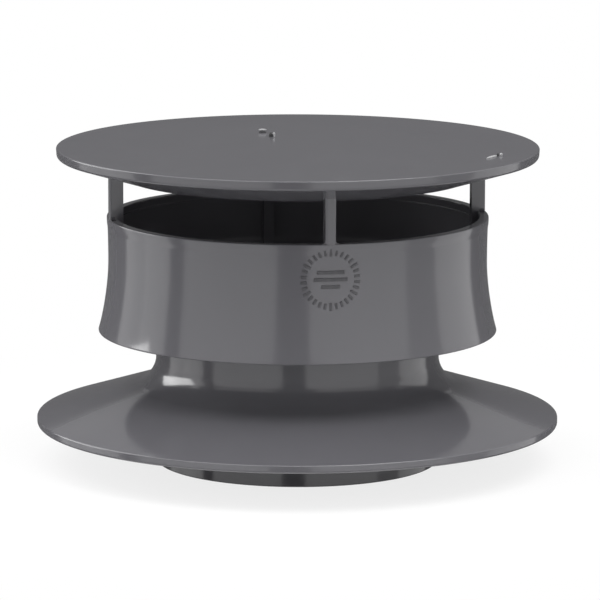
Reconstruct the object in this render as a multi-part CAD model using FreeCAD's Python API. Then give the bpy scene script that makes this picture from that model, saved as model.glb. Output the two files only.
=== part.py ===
"""Static vent cowl for a plastic soil or ventilation pipe, in three mouldings.

The base is a pipe socket, a neck and a conical weathering flange in one piece. The deflector
ring stands round the neck on four webs, and its four posts carry the round rain cap. The
origin is the centre of the socket's mouth, +Z is up the pipe, and lengths are millimetres.
"""
import FreeCAD
import Part
import math
import os

# Base: socket, neck and flange
PIPE_DIAMETER = 110.0
SOCKET_GAP = 0.25
TUBE_WALL = 3.25
SOCKET_DEPTH = 46.0
STOP_REACH = 2.75
STOP_HEIGHT = 2.5
MOUTH_CHAMFER = 1.2
NECK_TOP = 74.0
FLANGE_DIAMETER = 215.5
FLANGE_WALL = 2.4
FLANK_SLOPE = 18.8
RIM_HEIGHT = 16.25
RIM_THICKNESS = 1.55
FLARE_RADIUS = 12.8

# Deflector ring: the waisted wall, its lip, the hub on the neck and the webs
RING_HEIGHT = 47.6
RING_OVERLAP = 19.55
WAIST_DIAMETER = 156.2
WAIST_DROP = 17.9
UPPER_SWEEP = 560.0
LOWER_SWEEP = 105.0
RING_WALL = 2.55
LIP_HEIGHT = 3.2
LIP_PROUD = 0.3
LIP_INSIDE = 0.9
LIP_ROUND = 1.1
HUB_GAP = 0.2
HUB_WALL = 2.4
HUB_LEDGE = 2.0
HUB_SKIRT = 14.0
WEB_THICKNESS = 3.0
WEB_HEIGHT = 14.0

# Posts between the ring and the cap
POST_COUNT = 4
POST_WIDTH = 4.3
POST_DEPTH = 5.8
POST_HEIGHT = 16.85
POST_PROUD = 0.4
POST_CORNER = 0.7
POST_FOOT_RADIUS = 1.5
PEG_WIDTH = 2.2
PEG_DEPTH = 1.5
PEG_HEIGHT = 3.0
SEAT_GAP = 0.15

# Rain cap
CAP_DIAMETER = 198.7
CAP_HEIGHT = 11.9
CAP_EDGE = 3.7
CAP_PLATE = 3.0
CAP_CROWN = 0.6
SPIGOT_DEPTH = 1.1
SPIGOT_WALL = 3.2
STUB_RADIUS = 1.1
STUB_HEIGHT = 1.8
FLAKE_LENGTH = 4.0
FLAKE_WIDTH = 1.5
FLAKE_HEIGHT = 1.0
FLAKES = [(-8.1, 41.1, -12.0), (71.1, -48.4, 34.0)]
STUBS = [(-5.5, 29.8), (76.6, -41.7)]

# Places worked out from the sizes above
BORE_R = PIPE_DIAMETER / 2 + SOCKET_GAP
TUBE_R = BORE_R + TUBE_WALL
FLANGE_R = FLANGE_DIAMETER / 2
WAIST_R = WAIST_DIAMETER / 2
CAP_R = CAP_DIAMETER / 2
HUB_BORE_R = TUBE_R + HUB_GAP
HUB_R = HUB_BORE_R + HUB_WALL
HUB_TOP = NECK_TOP + HUB_LEDGE
RING_BOTTOM = NECK_TOP - RING_OVERLAP
RING_TOP = RING_BOTTOM + RING_HEIGHT
WAIST_Z = RING_TOP - WAIST_DROP
POST_OUTER_R = WAIST_R + POST_PROUD
POST_INNER_R = POST_OUTER_R - POST_DEPTH
SEAT_Z = RING_TOP + POST_HEIGHT
SPIGOT_R = POST_INNER_R - SEAT_GAP
CAP_TOP = SEAT_Z + CAP_HEIGHT
EDGE_BOTTOM = CAP_TOP - CAP_EDGE
SPIGOT_ROOT = SEAT_Z + SPIGOT_DEPTH
PLATE_UNDERSIDE = CAP_TOP - CAP_PLATE
CAP_SLOPE = (EDGE_BOTTOM - SPIGOT_ROOT) / (CAP_R - SPIGOT_R)
PEG_R = (POST_OUTER_R + POST_INNER_R) / 2
PEG_SEAT = SPIGOT_ROOT + (PEG_R - SPIGOT_R) * CAP_SLOPE

AXIS = FreeCAD.Vector(0, 0, 1)
ORIGIN = FreeCAD.Vector(0, 0, 0)


def section(r, z):
    """Point of a section through the axis."""
    return FreeCAD.Vector(r, 0, z)


def rounded_wire(corners):
    """Closed wire through (point, radius) corners, each corner rounded by its own radius."""
    edges = []
    ends = []
    count = len(corners)
    for i in range(count):
        point, radius = corners[i]
        before = corners[i - 1][0]
        after = corners[(i + 1) % count][0]
        if not radius:
            ends.append((point, point, None))
            continue
        back = (before - point).normalize()
        ahead = (after - point).normalize()
        half = back.getAngle(ahead) / 2
        reach = radius / math.tan(half)
        bisector = (back + ahead).normalize()
        middle = point + bisector * (radius / math.sin(half) - radius)
        ends.append((point + back * reach, point + ahead * reach, middle))
    for i in range(count):
        start, finish, middle = ends[i]
        if middle:
            edges.append(Part.Arc(start, middle, finish).toShape())
        following = ends[(i + 1) % count][0]
        if finish.distanceToPoint(following) > 1e-6:
            edges.append(Part.LineSegment(finish, following).toShape())
    return Part.Wire(edges)


def turned(corners):
    """Solid of revolution about the cowl's axis from a rounded section."""
    return Part.Face(rounded_wire(corners)).revolve(ORIGIN, AXIS, 360)


def radial_bar(inner, outer, width, bottom, top):
    """Upright bar on the +X side, centred on the radial line."""
    return Part.makeBox(outer - inner, width, top - bottom, FreeCAD.Vector(inner, -width / 2, bottom))


def around(shape):
    """Copies of a shape on the post lines."""
    copies = []
    for i in range(POST_COUNT):
        copy = shape.copy()
        copy.rotate(ORIGIN, AXIS, 360.0 * i / POST_COUNT)
        copies.append(copy)
    return copies


def base():
    """Socket, neck and weathering flange: one solid of revolution."""
    slope = math.tan(math.radians(FLANK_SLOPE))
    rim_top = RIM_HEIGHT + RIM_THICKNESS
    flank_at_neck = rim_top + (FLANGE_R - TUBE_R) * slope
    wall_drop = FLANGE_WALL / math.cos(math.radians(FLANK_SLOPE))
    land_inner = FLANGE_R - (wall_drop - RIM_THICKNESS) / slope
    stop_r = BORE_R - STOP_REACH
    stop_top = SOCKET_DEPTH + STOP_HEIGHT
    rim_round = RIM_THICKNESS * 0.4
    return turned([
        (section(BORE_R + MOUTH_CHAMFER, 0), 0),
        (section(TUBE_R, 0), 0.6),
        (section(TUBE_R, flank_at_neck - wall_drop), 2.0),
        (section(land_inner, RIM_HEIGHT), 3.0),
        (section(FLANGE_R, RIM_HEIGHT), rim_round),
        (section(FLANGE_R, rim_top), rim_round),
        (section(TUBE_R, flank_at_neck), FLARE_RADIUS),
        (section(TUBE_R, NECK_TOP), 0.5),
        (section(BORE_R, NECK_TOP), 0.5),
        (section(BORE_R, stop_top + STOP_REACH), 0),
        (section(stop_r, stop_top), 0.5),
        (section(stop_r, SOCKET_DEPTH), 0.4),
        (section(BORE_R, SOCKET_DEPTH), 0),
        (section(BORE_R, 2 * MOUTH_CHAMFER), 0)])


def sweep_r(z, sweep, inset):
    """Radius of the ring's waisted wall at a height, moved inwards by inset."""
    return WAIST_R + sweep - math.sqrt((sweep + inset) ** 2 - (z - WAIST_Z) ** 2)


def sweep_edge(z_from, z_to, sweep, inset):
    """Arc of the ring's section between two heights."""
    middle = (z_from + z_to) / 2
    points = [section(sweep_r(z, sweep, inset), z) for z in (z_from, middle, z_to)]
    return Part.Arc(*points).toShape()


def ring_wall():
    """The waisted wall: drawn in a little above the waist and flared out below it."""
    lip_middle = RING_TOP - LIP_HEIGHT / 2
    outer_up = sweep_edge(WAIST_Z, lip_middle, UPPER_SWEEP, 0)
    outer_down = sweep_edge(RING_BOTTOM, WAIST_Z, LOWER_SWEEP, 0)
    inner_up = sweep_edge(WAIST_Z, lip_middle, UPPER_SWEEP, RING_WALL)
    inner_down = sweep_edge(RING_BOTTOM, WAIST_Z, LOWER_SWEEP, RING_WALL)
    top = Part.LineSegment(section(sweep_r(lip_middle, UPPER_SWEEP, RING_WALL), lip_middle),
                           section(sweep_r(lip_middle, UPPER_SWEEP, 0), lip_middle)).toShape()
    foot = Part.LineSegment(section(sweep_r(RING_BOTTOM, LOWER_SWEEP, RING_WALL), RING_BOTTOM),
                            section(sweep_r(RING_BOTTOM, LOWER_SWEEP, 0), RING_BOTTOM)).toShape()
    wire = Part.Wire(Part.__sortEdges__([outer_up, outer_down, foot, inner_down, inner_up, top]))
    wall = Part.Face(wire).revolve(ORIGIN, AXIS, 360)
    foot_edges = [edge for edge in wall.Edges
                  if edge.BoundBox.ZLength < 1e-6 and abs(edge.BoundBox.ZMin - RING_BOTTOM) < 1e-6]
    return wall.makeFillet(0.3 * RING_WALL, foot_edges)


def ring_lip():
    """Rolled lip round the ring's mouth, proud of the wall on both sides."""
    bottom = RING_TOP - LIP_HEIGHT
    outer = sweep_r(bottom, UPPER_SWEEP, 0) + LIP_PROUD
    inner = sweep_r(bottom, UPPER_SWEEP, RING_WALL) - LIP_INSIDE
    return turned([(section(inner, bottom), 0.45), (section(outer, bottom), LIP_ROUND),
                   (section(outer, RING_TOP), LIP_ROUND), (section(inner, RING_TOP), LIP_ROUND / 2)])


def hub():
    """Sleeve over the neck, with a ledge that rests on the neck's top edge."""
    return turned([
        (section(HUB_BORE_R, NECK_TOP - HUB_SKIRT), 0.3),
        (section(HUB_R, NECK_TOP - HUB_SKIRT), 0.6),
        (section(HUB_R, HUB_TOP), 0.6),
        (section(BORE_R, HUB_TOP), 0.6),
        (section(BORE_R, NECK_TOP), 0),
        (section(HUB_BORE_R, NECK_TOP), 0)])


def ring_envelope():
    """Everything inside the middle of the ring's wall, which the webs and ribs fill up to."""
    half = RING_WALL / 2
    lip_middle = RING_TOP - LIP_HEIGHT / 2
    down = sweep_edge(RING_BOTTOM, WAIST_Z, LOWER_SWEEP, half)
    up = sweep_edge(WAIST_Z, lip_middle, UPPER_SWEEP, half)
    top_r = sweep_r(lip_middle, UPPER_SWEEP, half)
    foot_r = sweep_r(RING_BOTTOM, LOWER_SWEEP, half)
    top = Part.LineSegment(section(top_r, lip_middle), section(0, lip_middle)).toShape()
    axis_line = Part.LineSegment(section(0, lip_middle), section(0, RING_BOTTOM)).toShape()
    foot = Part.LineSegment(section(0, RING_BOTTOM), section(foot_r, RING_BOTTOM)).toShape()
    wire = Part.Wire(Part.__sortEdges__([down, up, top, axis_line, foot]))
    return Part.Face(wire).revolve(ORIGIN, AXIS, 360)


def cap_body():
    """The cap without pockets: flat top, thin edge, sloping underside and short spigot."""
    spigot_inner = SPIGOT_R - SPIGOT_WALL
    return turned([
        (section(0, CAP_TOP + CAP_CROWN), 0),
        (section(0, PLATE_UNDERSIDE), 0),
        (section(spigot_inner, PLATE_UNDERSIDE), 1.2),
        (section(spigot_inner, SEAT_Z), 0.4),
        (section(SPIGOT_R, SEAT_Z), 0.3),
        (section(SPIGOT_R, SPIGOT_ROOT), 0),
        (section(CAP_R, EDGE_BOTTOM), CAP_EDGE * 0.35),
        (section(CAP_R, CAP_TOP), CAP_EDGE * 0.4)])


def post():
    """One post on the +X side: outer face in line with the ring, top cut to the cap's sloping
    underside, and a peg that goes up into the cap."""
    lip_middle = RING_TOP - LIP_HEIGHT / 2
    half = POST_WIDTH / 2
    plan = rounded_wire([
        (FreeCAD.Vector(POST_INNER_R, -half, lip_middle), 0),
        (FreeCAD.Vector(POST_OUTER_R, -half, lip_middle), POST_CORNER),
        (FreeCAD.Vector(POST_OUTER_R, half, lip_middle), POST_CORNER),
        (FreeCAD.Vector(POST_INNER_R, half, lip_middle), 0)])
    upright = Part.Face(plan).extrude(FreeCAD.Vector(0, 0, EDGE_BOTTOM - lip_middle))
    peg = radial_bar(PEG_R - PEG_DEPTH / 2, PEG_R + PEG_DEPTH / 2, PEG_WIDTH,
                     PEG_SEAT - 1, PEG_SEAT + PEG_HEIGHT)
    return upright.cut(cap_body()).fuse(peg)


def post_foot():
    """Fillets that spread a post's foot onto the lip, one on each side."""
    half = POST_WIDTH / 2
    sink = LIP_HEIGHT / 4
    inner = sweep_r(RING_TOP - LIP_HEIGHT, UPPER_SWEEP, RING_WALL)
    spread = rounded_wire([
        (FreeCAD.Vector(inner, -half - POST_FOOT_RADIUS * 2, RING_TOP), 0),
        (FreeCAD.Vector(inner, -half, RING_TOP), POST_FOOT_RADIUS),
        (FreeCAD.Vector(inner, -half, RING_TOP + POST_FOOT_RADIUS * 2), 0),
        (FreeCAD.Vector(inner, half, RING_TOP + POST_FOOT_RADIUS * 2), 0),
        (FreeCAD.Vector(inner, half, RING_TOP), POST_FOOT_RADIUS),
        (FreeCAD.Vector(inner, half + POST_FOOT_RADIUS * 2, RING_TOP), 0),
        (FreeCAD.Vector(inner, half + POST_FOOT_RADIUS, RING_TOP - sink), 0),
        (FreeCAD.Vector(inner, -half - POST_FOOT_RADIUS, RING_TOP - sink), 0)])
    reach = POST_OUTER_R - POST_CORNER - inner
    return Part.Face(spread).extrude(FreeCAD.Vector(reach, 0, 0))


def rib_and_web():
    """Inside the ring: the post carried on down the wall as a rib, and its web to the hub."""
    lip_middle = RING_TOP - LIP_HEIGHT / 2
    web_bottom = HUB_TOP - WEB_HEIGHT
    rib = radial_bar(POST_INNER_R, WAIST_R + LOWER_SWEEP, POST_WIDTH, web_bottom, lip_middle)
    web = radial_bar(HUB_BORE_R + HUB_WALL / 2, WAIST_R + LOWER_SWEEP, WEB_THICKNESS,
                     web_bottom, HUB_TOP - HUB_LEDGE / 2)
    return rib.fuse(web)


def deflector_ring():
    """Wall, lip, hub, webs and posts: one moulding."""
    inside = Part.makeCompound(around(rib_and_web())).common(ring_envelope())
    pieces = [ring_lip(), hub(), inside] + around(post()) + around(post_foot())
    return ring_wall().multiFuse(pieces).removeSplitter()


def stub(x, y):
    """Short stump of a broken moulding gate on the cap's top."""
    return Part.makeCone(STUB_RADIUS, STUB_RADIUS * 0.6, STUB_HEIGHT + CAP_CROWN,
                         FreeCAD.Vector(x, y, CAP_TOP))


def flake(x, y, turn):
    """Low ridge left where the gate tore off beside a stump."""
    ridge = Part.makeBox(FLAKE_LENGTH, FLAKE_WIDTH, FLAKE_HEIGHT + CAP_CROWN,
                         FreeCAD.Vector(-FLAKE_LENGTH / 2, -FLAKE_WIDTH / 2, CAP_TOP))
    long_edges = [edge for edge in ridge.Edges
                  if edge.BoundBox.XLength > FLAKE_LENGTH / 2 and edge.BoundBox.ZMin > CAP_TOP + CAP_CROWN]
    ridge = ridge.makeFillet(FLAKE_WIDTH * 0.4, long_edges)
    ridge.rotate(ORIGIN, AXIS, turn)
    ridge.translate(FreeCAD.Vector(x, y, 0))
    return ridge


def rain_cap():
    """The cap's body with a pocket for each post's peg and the gate marks on its top."""
    pocket = radial_bar(PEG_R - PEG_DEPTH / 2 - SEAT_GAP, PEG_R + PEG_DEPTH / 2 + SEAT_GAP,
                        PEG_WIDTH + 2 * SEAT_GAP, SEAT_Z - 1, PEG_SEAT + PEG_HEIGHT + SEAT_GAP)
    marks = [stub(x, y) for x, y in STUBS] + [flake(x, y, turn) for x, y, turn in FLAKES]
    return cap_body().cut(Part.makeCompound(around(pocket))).multiFuse(marks).removeSplitter()


os.makedirs("parts", exist_ok=True)
for node, build in (("base", base), ("deflector_ring", deflector_ring), ("rain_cap", rain_cap)):
    shape = build()
    solids = shape.Solids
    print(node, "solids", len(solids), "valid", shape.isValid(), "volume", round(shape.Volume, 1))
    solids[0].exportStep("parts/" + node + ".step")
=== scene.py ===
import bpy
import bmesh
import math
from mathutils import Matrix, Quaternion, Vector


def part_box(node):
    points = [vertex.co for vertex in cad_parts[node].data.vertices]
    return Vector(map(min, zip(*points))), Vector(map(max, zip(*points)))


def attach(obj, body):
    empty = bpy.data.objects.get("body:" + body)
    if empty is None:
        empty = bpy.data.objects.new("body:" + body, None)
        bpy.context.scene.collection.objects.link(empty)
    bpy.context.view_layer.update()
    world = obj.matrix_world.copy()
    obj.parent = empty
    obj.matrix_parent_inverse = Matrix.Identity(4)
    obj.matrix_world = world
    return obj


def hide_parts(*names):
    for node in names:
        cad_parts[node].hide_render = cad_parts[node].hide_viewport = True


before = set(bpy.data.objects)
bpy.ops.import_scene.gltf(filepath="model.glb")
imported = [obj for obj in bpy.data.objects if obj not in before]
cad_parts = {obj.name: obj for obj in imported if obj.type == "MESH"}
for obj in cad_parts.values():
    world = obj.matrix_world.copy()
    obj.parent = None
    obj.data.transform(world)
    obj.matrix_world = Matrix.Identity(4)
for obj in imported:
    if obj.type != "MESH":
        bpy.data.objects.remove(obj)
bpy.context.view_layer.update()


# Base. One moulding in grey PVC: the socket that goes over the pipe, the neck above it and the
# conical flange that sheds the rain. It is turned here in one piece, as it leaves its mould.

mm = 0.001
steps_round = 320
tube_outside = 58.5
tube_inside = 55.25
mouth_chamfer = 1.2
socket_depth = 46.0
stop_width = 2.75
stop_land = 2.5
neck_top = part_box("base")[1].z / mm
flange_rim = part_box("base")[1].x / mm
rim_bottom = 15.8
rim_top = 19.05
rim_land = 3.0
flank_slope = math.tan(math.radians(17.5))
flank_top = rim_top + (flange_rim - tube_outside) * flank_slope
flange_wall = 2.516
bead_inside = flange_rim - rim_land


def turned(section):
    """Closed section spun round the cowl's axis. A corner is its radius, its height and how far
    along both sides its rounding reaches, in millimetres."""
    shape = bmesh.new()
    corners = [shape.verts.new((radius * mm, 0, height * mm)) for radius, height, reach in section]
    for i, corner in enumerate(corners):
        shape.edges.new((corners[i - 1], corner))
    for corner, (radius, height, reach) in zip(corners, section):
        if reach:
            bmesh.ops.bevel(shape, geom=[corner], offset=reach * mm, offset_type="OFFSET",
                            segments=24 if reach > 5 else 6, profile=0.5, affect="VERTICES",
                            material=-1)
    outline = list(shape.verts) + list(shape.edges)
    bmesh.ops.spin(shape, geom=outline, cent=(0, 0, 0), axis=(0, 0, 1), angle=2 * math.pi,
                   steps=steps_round, use_merge=True)
    bmesh.ops.remove_doubles(shape, verts=list(shape.verts), dist=0.001 * mm)
    bmesh.ops.recalc_face_normals(shape, faces=list(shape.faces))
    return shape


def moulded(name, shapes):
    """One object from closed shapes, smooth where its faces run on and crisp at its edges."""
    mesh = bpy.data.meshes.new(name)
    whole = bmesh.new()
    for shape in shapes:
        part = bpy.data.meshes.new(name + "_part")
        shape.to_mesh(part)
        whole.from_mesh(part)
        bpy.data.meshes.remove(part)
        shape.free()
    for face in whole.faces:
        face.smooth = True
    for edge in whole.edges:
        edge.smooth = edge.calc_face_angle(0) < math.radians(35)
    whole.to_mesh(mesh)
    whole.free()
    piece = bpy.data.objects.new(name, mesh)
    bpy.context.collection.objects.link(piece)
    even = piece.modifiers.new("even shading", "WEIGHTED_NORMAL")
    even.keep_sharp = True
    even.weight = 100
    return piece


class Tone:
    """One socket of a material. Sums written on it add Math nodes."""

    def __init__(self, tree, socket=None):
        self.tree = tree
        self.socket = socket

    def node(self, kind, sockets=None, out=0, **settings):
        """Adds a node: its settings first, then the values or links of its sockets."""
        node = self.tree.nodes.new("ShaderNode" + kind)
        for name, value in settings.items():
            setattr(node, name, value)
        for name, value in (sockets or {}).items():
            if isinstance(value, Tone):
                self.tree.links.new(value.socket, node.inputs[name])
            else:
                node.inputs[name].default_value = value
        return Tone(self.tree, node.outputs[out] if node.outputs else None)

    def sum(self, operation, first, second):
        return self.node("Math", {0: first, 1: second}, operation=operation)

    def __add__(self, other):
        return self.sum("ADD", self, other)

    def __radd__(self, other):
        return self.sum("ADD", other, self)

    def __sub__(self, other):
        return self.sum("SUBTRACT", self, other)

    def __rsub__(self, other):
        return self.sum("SUBTRACT", other, self)

    def __mul__(self, other):
        return self.sum("MULTIPLY", self, other)

    def __rmul__(self, other):
        return self.sum("MULTIPLY", other, self)


def grey_pvc(name, flow_stretch, shade):
    """Glossy dark grey PVC as it leaves the mould: slow drifts of tone along the way the melt
    ran, a faint grain, and handling marks in the gloss. A shade of 1 is the base's tone."""
    material = bpy.data.materials.new(name)
    material.use_nodes = True
    material.node_tree.nodes.clear()
    pvc = Tone(material.node_tree)
    place = pvc.node("TexCoord", out="Object")
    along_flow = pvc.node("Mapping", {"Vector": place, "Scale": flow_stretch})
    darkest = (0.100 * shade, 0.098 * shade, 0.108 * shade, 1)
    palest = (0.113 * shade, 0.111 * shade, 0.121 * shade, 1)
    drift = pvc.node("TexNoise", {"Vector": along_flow, "Scale": 26.0, "Detail": 3.0,
                                  "Roughness": 0.55})
    handling = pvc.node("TexNoise", {"Vector": place, "Scale": 90.0, "Detail": 5.0,
                                     "Roughness": 0.62, "Distortion": 0.6})
    grain = pvc.node("TexNoise", {"Vector": place, "Scale": 1500.0, "Detail": 2.0})
    sink = pvc.node("TexNoise", {"Vector": along_flow, "Scale": 17.0, "Detail": 1.0})
    colour = pvc.node("Mix", {0: drift, 6: darkest, 7: palest}, out=2, data_type="RGBA")
    smudged = pvc.node("MapRange", {"Value": handling, "From Min": 0.45, "From Max": 0.75,
                                    "To Min": 0.0, "To Max": 0.05})
    roughness = 0.115 + smudged + grain * 0.02
    surface = grain * 0.004 + sink
    bump = pvc.node("Bump", {"Height": surface, "Strength": 1.0, "Distance": 0.00035})
    shader = pvc.node("BsdfPrincipled", {"Base Color": colour, "Roughness": roughness,
                                         "Normal": bump, "IOR": 1.59})
    pvc.node("OutputMaterial", {"Surface": shader})
    return material


base = moulded("base_moulding", [turned([
    (tube_inside + mouth_chamfer, 0, 0),
    (tube_outside, 0, 0.6),
    (tube_outside, flank_top - flange_wall, 0.3),
    (bead_inside, rim_top + rim_land * flank_slope - flange_wall, 0.5),
    (bead_inside, rim_bottom, 0.4),
    (flange_rim, rim_bottom, 1.1),
    (flange_rim, rim_top, 0.45),
    (tube_outside, flank_top, 8.9),
    (tube_outside, neck_top, 0.5),
    (tube_inside, neck_top, 0.5),
    (tube_inside, socket_depth + stop_land + stop_width, 0),
    (tube_inside - stop_width, socket_depth + stop_land, 0.3),
    (tube_inside - stop_width, socket_depth, 0.3),
    (tube_inside, socket_depth, 0),
    (tube_inside, 2 * mouth_chamfer, 0)])])
base.data.materials.append(grey_pvc("grey_pvc_of_the_base", (1.0, 1.0, 0.35), 1.0))
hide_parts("base")
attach(base, "root")


# Deflector ring. One moulding in the same grey PVC: a wall drawn in at its waist and flared at
# its foot, a rolled lip, and a hub on four webs that sits down over the neck.

ring_bottom = 54.45
ring_top = 102.45
waist = 78.1
waist_height = ring_top - 18.3
sweep_up = 560.0
sweep_down = 105.0
ring_wall = 2.55
lip_bottom = ring_top - 3.4
lip_outward = 0.3
lip_inward = 0.9
hub_inside = tube_outside + 0.2
hub_outside = hub_inside + 2.4
hub_top = neck_top + 2.0
hub_bottom = neck_top - 14.0


def wall_radius(height):
    """Outside radius of the ring's wall at a height."""
    sweep = sweep_down if height < waist_height else sweep_up
    return waist + sweep - math.sqrt(sweep ** 2 - (height - waist_height) ** 2)


foot = wall_radius(ring_bottom)
throat = lip_bottom + 1.6
wall_at_lip = wall_radius(throat)
down_reach = sweep_down * math.tan(math.asin((waist_height - ring_bottom) / sweep_down) / 2)
up_reach = (throat - waist_height) / 2
ring_shell = turned([
    (foot, ring_bottom, 0.75),
    (waist, waist_height - down_reach, down_reach * 0.97),
    (waist, waist_height + up_reach, up_reach * 0.9),
    (wall_at_lip - 0.02, lip_bottom - 1.2, 1.0),
    (wall_at_lip + lip_outward, lip_bottom + 1.0, 0.9),
    (wall_at_lip + lip_outward, ring_top, 0.55),
    (wall_at_lip - ring_wall - lip_inward, ring_top, 0.4),
    (wall_at_lip - ring_wall - lip_inward, lip_bottom, 0.4),
    (wall_at_lip - ring_wall, lip_bottom - 0.4, 0.2),
    (waist - ring_wall, waist_height + up_reach - 1, up_reach * 0.8),
    (waist - ring_wall, waist_height - down_reach, down_reach * 0.94),
    (foot - ring_wall, ring_bottom, 0.75)])
hub = turned([
    (hub_inside, hub_bottom, 0.3),
    (hub_outside, hub_bottom, 0.6),
    (hub_outside, hub_top, 0.6),
    (tube_inside, hub_top, 0.6),
    (tube_inside, neck_top, 0),
    (hub_inside, neck_top, 0)])


# Posts, with the ribs and webs that carry on from them inside the ring. Four of each, moulded
# with the ring: a post stands flush with the wall, spreads onto the lip at its foot and ends
# against the cap's sloping underside.

post_width = 4.3
post_depth = 5.8
post_outside = waist + 0.4
post_inside = post_outside - post_depth
web_bottom = hub_bottom + 2.0
web_top = hub_top - 1.0
spigot = post_inside - 0.15
spigot_bottom = ring_top + 16.45
spigot_root = spigot_bottom + 0.12
cap_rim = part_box("rain_cap")[1].x / mm
cap_top = 130.8
cap_edge = 3.7
cap_slope = (cap_top - cap_edge - spigot_root) / (cap_rim - spigot)
web_width = 3.0


def upright(outline, width):
    """Flat outline of radius and height, given its width. Corners at the post's face are rounded."""
    shape = bmesh.new()
    corners = [shape.verts.new((radius * mm, -width / 2 * mm, height * mm))
               for radius, height in outline]
    side = shape.faces.new(corners)
    grown = bmesh.ops.extrude_face_region(shape, geom=[side])
    far_side = [item for item in grown["geom"] if isinstance(item, bmesh.types.BMVert)]
    bmesh.ops.translate(shape, verts=far_side, vec=(0, width * mm, 0))
    bmesh.ops.recalc_face_normals(shape, faces=list(shape.faces))
    outer = [edge for edge in shape.edges
             if all(abs(vert.co.x - post_outside * mm) < 0.01 * mm for vert in edge.verts)
             and abs(edge.verts[0].co.y - edge.verts[1].co.y) < 0.01 * mm]
    if outer:
        bmesh.ops.bevel(shape, geom=outer, offset=0.9 * mm, offset_type="OFFSET", segments=6,
                        profile=0.5, affect="EDGES", material=-1)
    return shape


def post():
    """Post from the web's lower edge up to the cap: a rib inside the wall, and above the lip a
    free post that ends on the cap's sloping underside."""
    heights = [web_bottom + i * (lip_bottom - web_bottom) / 6 for i in range(7)]
    against_wall = [(wall_radius(height) - ring_wall / 2, height) for height in heights]
    top_outside = spigot_root + (post_outside - spigot) * cap_slope
    top_inside = spigot_root + (post_inside - spigot) * cap_slope
    return upright([(post_inside, web_bottom)] + against_wall
                   + [(post_outside, lip_bottom + 1.5), (post_outside, top_outside),
                      (post_inside, top_inside)], post_width)


def post_foot():
    """Fillets at both sides of a post's foot, drawn across it and run along its depth."""
    shape = bmesh.new()
    half = post_width / 2
    spread = 3.0
    inner = wall_at_lip - ring_wall + 0.4
    outline = [(-half - spread, ring_top), (-half, ring_top), (-half + 0.3, ring_top + spread),
               (half - 0.3, ring_top + spread), (half, ring_top), (half + spread, ring_top),
               (half + spread / 2, ring_top - 0.8), (-half - spread / 2, ring_top - 0.8)]
    corners = [shape.verts.new((inner * mm, across * mm, height * mm))
               for across, height in outline]
    for i, corner in enumerate(corners):
        shape.edges.new((corners[i - 1], corner))
    bmesh.ops.bevel(shape, geom=[corners[1], corners[4]], offset=1.5 * mm,
                    offset_type="OFFSET", segments=6, profile=0.5, affect="VERTICES",
                    material=-1)
    bmesh.ops.contextual_create(shape, geom=list(shape.edges))
    grown = bmesh.ops.extrude_face_region(shape, geom=list(shape.faces))
    far_side = [item for item in grown["geom"] if isinstance(item, bmesh.types.BMVert)]
    bmesh.ops.translate(shape, verts=far_side, vec=((post_outside - 0.7 - inner) * mm, 0, 0))
    bmesh.ops.recalc_face_normals(shape, faces=list(shape.faces))
    return shape


def web():
    """Web from the hub out to the rib."""
    return upright([(hub_outside - 1.2, web_bottom), (post_inside + 0.1, web_bottom),
                    (post_inside + 0.1, web_top), (hub_outside - 1.2, web_top)], web_width)


carriers = []
for quarter in range(4):
    for shape in (post(), post_foot(), web()):
        bmesh.ops.rotate(shape, verts=list(shape.verts), cent=(0, 0, 0),
                         matrix=Matrix.Rotation(quarter * math.pi / 2, 3, "Z"))
        carriers.append(shape)


# Mould mark on the ring's front. A plain raised circle of short ticks with three bars across
# it, a third of a millimetre proud and moulded with the wall. Its colour is a painted shade:
# dull, and darker than the wall in noisy patches.

mark_height = 88.2
mark_radius = 10.9
mark_depth = 0.7
tick_count = 30


def raised(across, up, length, height, turn):
    """Small raised bar on the ring's front, a distance across and up from the mark's middle."""
    level = mark_height + up
    out = wall_radius(level)
    angle = across / out - math.pi / 2
    lean = math.atan2(wall_radius(level - 1) - wall_radius(level + 1), 2)
    shape = bmesh.new()
    bmesh.ops.create_cube(shape, size=1)
    bmesh.ops.scale(shape, verts=list(shape.verts), vec=(mark_depth * mm, length * mm, height * mm))
    face_edges = [edge for edge in shape.edges if all(vert.co.x > 0 for vert in edge.verts)]
    bmesh.ops.bevel(shape, geom=face_edges, offset=0.16 * mm, offset_type="OFFSET", segments=2,
                    profile=0.5, affect="EDGES", material=-1)
    place = (Matrix.Rotation(angle, 4, "Z") @ Matrix.Translation((out * mm, 0, level * mm))
             @ Matrix.Rotation(-lean, 4, "Y") @ Matrix.Rotation(turn, 4, "X"))
    bmesh.ops.transform(shape, matrix=place, verts=list(shape.verts))
    for face in shape.faces:
        face.material_index = 1
    return shape


def mark_pvc_with_painted_shade():
    """The ring's second material, for the mark: duller than the wall, and coloured darker than it
    in noisy patches, a painted shade that stands in for the mark's shading."""
    material = bpy.data.materials.new("mark_pvc_with_painted_shade")
    material.use_nodes = True
    material.node_tree.nodes.clear()
    shaded_mark = Tone(material.node_tree)
    place = shaded_mark.node("TexCoord", out="Object")
    patches = shaded_mark.node("TexNoise", {"Vector": place, "Scale": 420.0, "Detail": 2.0})
    # Painted shade: the mark's colour runs from near black up to a little below the wall's grey.
    colour = shaded_mark.node("Mix", {0: patches, 6: (0.027, 0.027, 0.03, 1),
                                7: (0.09, 0.088, 0.096, 1)}, out=2, data_type="RGBA")
    shader = shaded_mark.node("BsdfPrincipled", {"Base Color": colour, "Roughness": 0.42, "IOR": 1.5})
    shaded_mark.node("OutputMaterial", {"Surface": shader})
    return material


mark = []
for i in range(tick_count):
    turn = 2 * math.pi * i / tick_count
    mark.append(raised(mark_radius * math.sin(turn), mark_radius * math.cos(turn),
                       0.95, 2.3 if i % 5 else 3.1, -turn))
for up, length in ((2.9, 11.0), (0.0, 13.5), (-2.9, 7.5)):
    mark.append(raised(0, up, length, 1.3, 0))

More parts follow.
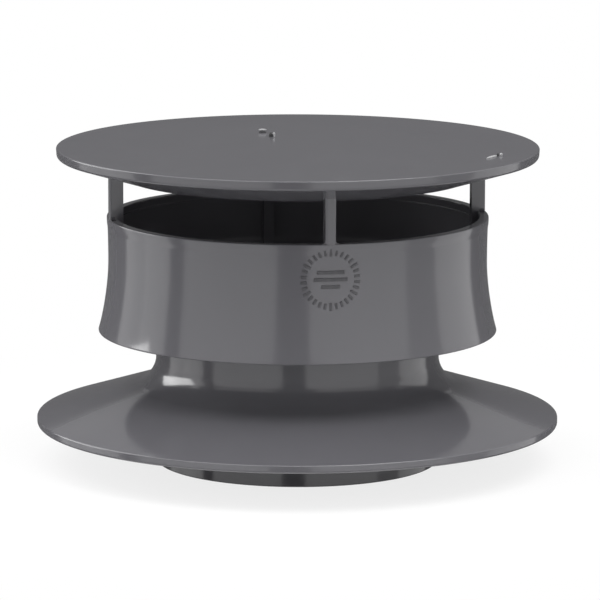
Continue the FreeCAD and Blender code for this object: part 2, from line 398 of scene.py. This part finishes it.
ring = moulded("deflector_moulding", [ring_shell, hub] + carriers + mark)
ring.data.materials.append(grey_pvc("grey_pvc_of_the_ring", (1.0, 1.0, 0.22), 0.94))
ring.data.materials.append(mark_pvc_with_painted_shade())
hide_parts("deflector_ring")
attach(ring, "root")


# Rain cap. One flat moulding in the same PVC, with a thin edge, a sloping underside and a short
# spigot inside the posts. Bits of two broken gates stand on its top: pale bits, partly plastic
# that stretched and partly a painted highlight, and near-black bits, a painted shade.

cap_plate = 3.0
cap_crown = 0.6
rim_draft = 0.25
spigot_wall = 3.2
cap_shell = turned([
    (0, cap_top + cap_crown, 0),
    (0, cap_top - cap_plate, 0),
    (spigot - spigot_wall, cap_top - cap_plate, 0.8),
    (spigot - spigot_wall, spigot_bottom, 0.4),
    (spigot - 0.3, spigot_bottom, 0),
    (spigot, spigot_root, 0),
    (cap_rim - rim_draft, cap_top - cap_edge, 0.9),
    (cap_rim, cap_top, 0.6)])


def gate_bit_pvc(name, darkest, palest):
    """Dull, rough PVC for the gates' bits, uneven in tone between its darkest and palest colours."""
    material = bpy.data.materials.new(name)
    material.use_nodes = True
    material.node_tree.nodes.clear()
    bit_surface = Tone(material.node_tree)
    place = bit_surface.node("TexCoord", out="Object")
    ragged = bit_surface.node("TexNoise", {"Vector": place, "Scale": 900.0, "Detail": 3.0})
    colour = bit_surface.node("Mix", {0: ragged, 6: darkest, 7: palest}, out=2, data_type="RGBA")
    bump = bit_surface.node("Bump", {"Height": ragged, "Strength": 0.6, "Distance": 0.0003})
    shader = bit_surface.node("BsdfPrincipled", {"Base Color": colour, "Roughness": 0.5,
                                          "Normal": bump, "IOR": 1.5})
    bit_surface.node("OutputMaterial", {"Surface": shader})
    return material


def torn_bit(x, y, low, high, length, width, turn, tone):
    """Rounded bit of a broken gate. It spans heights low to high above the cap's edge, turned in
    degrees, and its tone is the number of one of the cap's materials: pale, partly a painted
    highlight, or dark, a painted shade."""
    shape = bmesh.new()
    bmesh.ops.create_icosphere(shape, subdivisions=3, radius=0.5 * mm)
    bmesh.ops.scale(shape, verts=list(shape.verts), vec=(length, width, high - low))
    place = (Matrix.Translation((x * mm, y * mm, (cap_top + (low + high) / 2) * mm))
             @ Matrix.Rotation(math.radians(turn), 4, "Z"))
    bmesh.ops.transform(shape, matrix=place, verts=list(shape.verts))
    for face in shape.faces:
        face.material_index = tone
    return shape


# Tones of the bits. Pale is partly stretched plastic and partly a painted highlight on the bits'
# tops and right sides. Dark is a painted shade, near black where shadow falls between the bits.
pale = 1
dark = 2
gates = [
    torn_bit(-8.1, 40.7, 0.9, 1.9, 3.4, 0.8, -12, pale),
    torn_bit(-8.1, 40.5, -0.4, 1.2, 3.2, 0.9, -12, dark),
    torn_bit(-6.8, 27.1, -1.6, 2.3, 1.9, 1.5, 0, dark),
    torn_bit(-5.6, 26.3, 0.7, 2.4, 1.1, 0.6, 20, pale),
    torn_bit(-5.5, 26.3, -0.4, 1.4, 0.6, 0.6, 0, pale),
    torn_bit(71.9, -44.6, -0.3, 0.75, 9.6, 1.3, 52, pale),
    torn_bit(75.4, -40.1, -0.6, 1.2, 0.8, 0.9, 0, dark),
    torn_bit(76.7, -40.4, -0.4, 1.3, 1.3, 1.2, 0, pale)]
cap = moulded("rain_cap_moulding", [cap_shell] + gates)
cap.data.materials.append(grey_pvc("grey_pvc_of_the_cap", (1.0, 1.0, 1.0), 0.88))
# Pale bits: partly stretched plastic, partly painted highlight. Near-black bits: painted shade.
cap.data.materials.append(gate_bit_pvc("pale_pvc_and_painted_highlight", (0.16, 0.16, 0.165, 1),
                                   (0.6, 0.6, 0.61, 1)))
cap.data.materials.append(gate_bit_pvc("painted_shade_pvc", (0.01, 0.01, 0.011, 1),
                                   (0.03, 0.03, 0.032, 1)))
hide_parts("rain_cap")
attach(cap, "root")


# Floor and backdrop. A plain pale round sheet that the cowl stands on, with the cowl's own soft
# shadow on it. Away from the cowl it runs out into the white of the studio behind.

sheet_shape = bmesh.new()
bmesh.ops.create_circle(sheet_shape, cap_ends=True, segments=180, radius=0.3)
sheet_mesh = bpy.data.meshes.new("floor")
sheet_shape.to_mesh(sheet_mesh)
sheet_shape.free()
floor = bpy.data.objects.new("floor", sheet_mesh)
bpy.context.collection.objects.link(floor)
# The gloss shows the world in the floor's place: dim, but white straight below.
floor.visible_glossy = False

sheet = bpy.data.materials.new("pale_sheet")
sheet.use_nodes = True
sheet.node_tree.nodes.clear()
paper = Tone(sheet.node_tree)
from_cowl = paper.node("VectorMath", {0: paper.node("TexCoord", out="Object")}, out="Value",
                       operation="LENGTH")
whiter = paper.node("MapRange", {"Value": from_cowl, "From Min": 0.05, "From Max": 0.26,
                                 "To Min": 0.8, "To Max": 1.0}, interpolation_type="SMOOTHSTEP")
seen = paper.node("LightPath", out="Is Camera Ray")
near = paper.node("BsdfDiffuse", {"Color": (0.86, 0.86, 0.86, 1)})
white = paper.node("Emission", {"Color": (1, 1, 1, 1), "Strength": 1.0})
paper.node("OutputMaterial", {"Surface": paper.node(
    "MixShader", {"Fac": seen * whiter, 1: near, 2: white})})
floor.data.materials.append(sheet)

world = bpy.data.worlds.new("studio")
world.use_nodes = True
world.node_tree.nodes.clear()
bpy.context.scene.world = world
room = Tone(world.node_tree)
straight = room.node("LightPath", out="Is Camera Ray")
through = room.node("LightPath", out="Is Transmission Ray")
mirrored = room.node("LightPath", out="Is Glossy Ray")
height = room.node("SeparateXYZ", {"Vector": room.node("TexCoord", out="Generated")}, out="Z")
below = room.node("MapRange", {"Value": height, "From Min": -0.76, "From Max": -0.70,
                               "To Min": 1.0, "To Max": 0.06})
dim = room.node("Background", {"Color": (0.09, 0.09, 0.093, 1), "Strength": 1.0})
bright = room.node("Background", {"Color": (1, 1, 1, 1), "Strength": 1.0})
room.node("OutputWorld", {"Surface": room.node(
    "MixShader", {"Fac": straight + through + mirrored * below, 1: dim, 2: bright})})


# Lamps. Tall soft boxes round the cowl, with gaps between them that show as dark bands in the
# gloss, and weaker and higher ones that only fill. All of them face the cowl's middle.

camera_turn = math.radians(-9.7)
lamp_distance = 1.3
cowl_middle = Vector((0, 0, 0.066))


def soft_box(name, start, end, low, high, glow):
    """Soft box that spans bearings start to end, in degrees to the right of the camera, and
    elevations low to high. Its glow is how bright it looks beside white paper."""
    bearing = camera_turn + math.radians((start + end) / 2)
    rise = math.radians((low + high) / 2)
    half_width = math.radians((end - start) / 2) * math.cos(rise)
    half_height = math.radians((high - low) / 2)
    lamp = bpy.data.lights.new(name, "AREA")
    lamp.shape = "RECTANGLE"
    lamp.size = 2 * lamp_distance * math.tan(half_width)
    lamp.size_y = 2 * lamp_distance * math.tan(half_height)
    lamp.energy = glow * math.pi * lamp.size * lamp.size_y
    out = Vector((math.sin(bearing) * math.cos(rise), -math.cos(bearing) * math.cos(rise),
                  math.sin(rise)))
    lamp_object = bpy.data.objects.new(name, lamp)
    lamp_object.location = cowl_middle + out * lamp_distance
    lamp_object.rotation_euler = out.to_track_quat("Z", "Y").to_euler()
    lamp_object.visible_camera = False
    bpy.context.collection.objects.link(lamp_object)


soft_box("left_front_box", -71, -12, -28, 22, 0.89)
soft_box("right_front_box", 6, 67, -28, 22, 0.93)
soft_box("right_gap_box", 67, 89.5, -28, 22, 0.37)
soft_box("left_side_box", -103, -81.5, -28, 22, 1.26)
soft_box("left_back_box", -124, -103, -28, 22, 0.96)
soft_box("right_back_box", 89.5, 126, -28, 22, 1.11)
soft_box("left_front_fill", -75, -16, 24, 48, 0.59)
soft_box("right_front_fill", 12, 75, 24, 48, 0.67)
soft_box("left_back_fill", -150, -84, 27, 55, 2.89)
soft_box("right_back_fill", 85, 150, 27, 55, 0.96)
soft_box("back_fill", 150, 210, 18, 65, 0.3)
soft_box("left_high_box", -105, 0, 45, 85, 2.52)
soft_box("right_high_box", 0, 105, 45, 85, 4.44)
soft_box("left_strip_box", -132, -93, 7, 22, 4.81)


# Camera. A long lens almost two metres off, ten degrees above the cowl's middle and a little
# to the left of its front post.

camera_rise = math.radians(9.85)
camera_distance = 1.984
aim = Vector((0, 0, 0.06664))
lens = bpy.data.cameras.new("camera")
lens.lens = 288
lens.sensor_width = 36
lens.shift_x = 0.0041
lens.clip_start = 0.05
camera = bpy.data.objects.new("camera", lens)
back = Vector((math.sin(camera_turn) * math.cos(camera_rise),
               -math.cos(camera_turn) * math.cos(camera_rise), math.sin(camera_rise)))
camera.location = aim + back * camera_distance
level = back.to_track_quat("Z", "Y")
camera.rotation_euler = (level @ Quaternion((0, 0, 1), math.radians(0.13))).to_euler()
bpy.context.collection.objects.link(camera)
bpy.context.scene.camera = camera
bpy.context.scene.view_settings.view_transform = "Standard"
